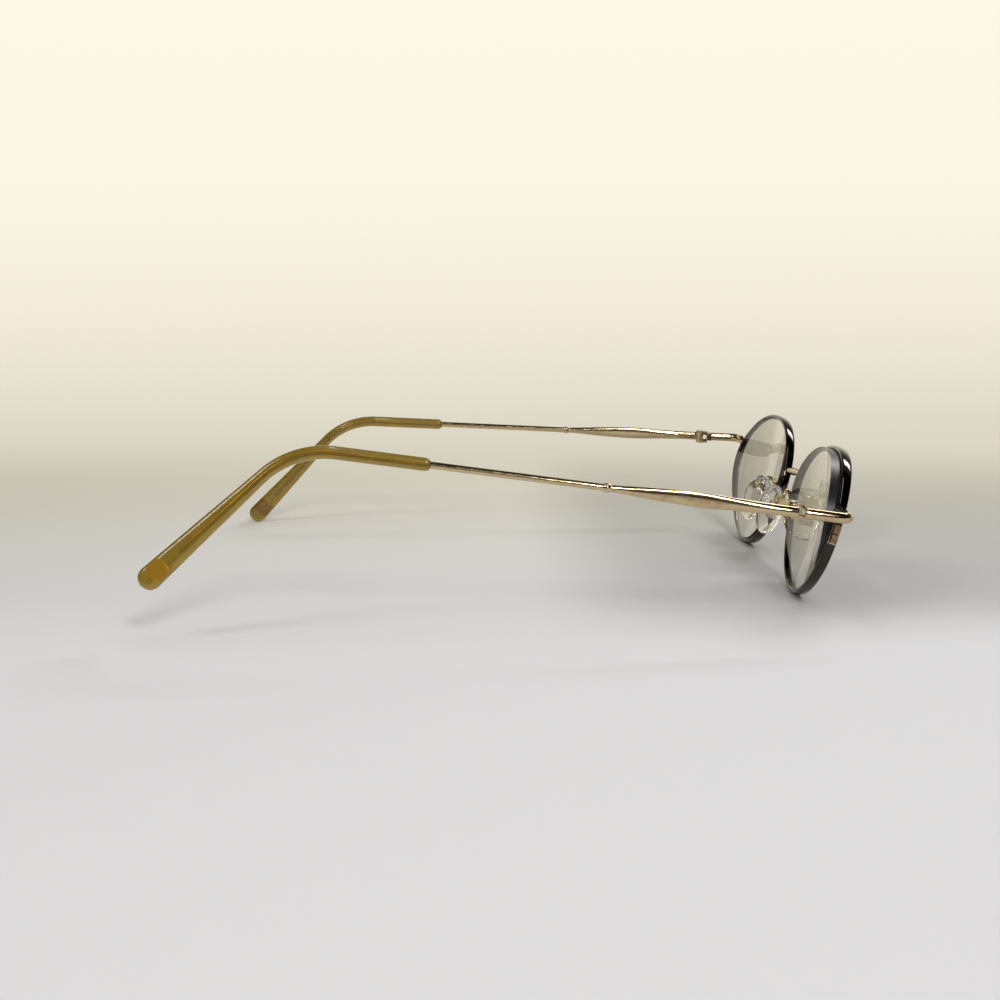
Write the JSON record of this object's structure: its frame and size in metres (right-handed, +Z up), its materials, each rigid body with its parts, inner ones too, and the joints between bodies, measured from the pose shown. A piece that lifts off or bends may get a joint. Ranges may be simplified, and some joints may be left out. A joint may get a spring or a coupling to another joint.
{
  "type": "oval wire rim eyeglasses",
  "caption": "Oval wire rim eyeglasses with folding temples, translucent bent tips and clear nose pads that rock on hooked wire arms.",
  "frame": {"origin": "on the table, under the middle of the whole pair", "axes": "+X to the wearer's left, +Y from the front to the ears, +Z up from the table"},
  "size_m": [0.1422, 0.1475, 0.0382],
  "materials": {
    "plated_frame": "pale gold plating, polished",
    "dark_rim": "black nickel plating, polished",
    "lens": "clear, polished, faint grey",
    "amber_tip": "translucent olive amber acetate, polished",
    "bare_plaque": "satin gold, bare",
    "clear_pad": "clear, smooth",
    "pad_metal": "stamped, satin",
    "screw_metal": "turned, bright"
  },
  "bodies": {
    "front": {"bridge": "plated_frame", "left_lens": "lens", "left_eyewire": "dark_rim", "left_upper_closing_block": "plated_frame", "left_lower_closing_block": "plated_frame", "left_end_piece": "plated_frame", "left_front_hinge": "plated_frame", "left_pad_box": "plated_frame", "left_pad_arm": "plated_frame", "right_lens": "lens", "right_eyewire": "dark_rim", "right_upper_closing_block": "plated_frame", "right_lower_closing_block": "plated_frame", "right_end_piece": "plated_frame", "right_front_hinge": "plated_frame", "right_pad_box": "plated_frame", "right_pad_arm": "plated_frame", "closing_screws": "screw_metal", "hinge_screws": "screw_metal", "pad_screws": "screw_metal"},
    "left_temple": {"left_temple_hinge": "plated_frame", "left_temple_bar": "plated_frame", "left_temple_tip": "amber_tip", "left_tip_plaque": "bare_plaque"},
    "left_pad": {"left_nose_pad": "clear_pad", "left_pad_plate": "pad_metal"},
    "right_temple": {"right_temple_hinge": "plated_frame", "right_temple_bar": "plated_frame", "right_temple_tip": "amber_tip", "right_tip_plaque": "bare_plaque"},
    "right_pad": {"right_nose_pad": "clear_pad", "right_pad_plate": "pad_metal"}
  },
  "joints": [
    {"name": "left_temple_fold", "type": "hinge", "parent": "front", "child": "left_temple", "pos_m": [0.06353, -0.05581, 0.02413], "axis": [0, -0.0544, 0.9985], "range_deg": [0, 88]},
    {"name": "right_temple_fold", "type": "hinge", "parent": "front", "child": "right_temple", "pos_m": [-0.06353, -0.05582, 0.02425], "axis": [0, 0.1361, -0.9907], "range_deg": [0, 92]},
    {"name": "left_pad_rock", "type": "hinge", "parent": "front", "child": "left_pad", "pos_m": [0.01157, -0.06385, 0.01726], "axis": [-0.3462, -0.8587, -0.3777], "range_deg": [-8, 8]},
    {"name": "right_pad_rock", "type": "hinge", "parent": "front", "child": "right_pad", "pos_m": [-0.01157, -0.06385, 0.01726], "axis": [-0.3462, 0.8587, 0.3777], "range_deg": [-8, 8]}
  ]
}
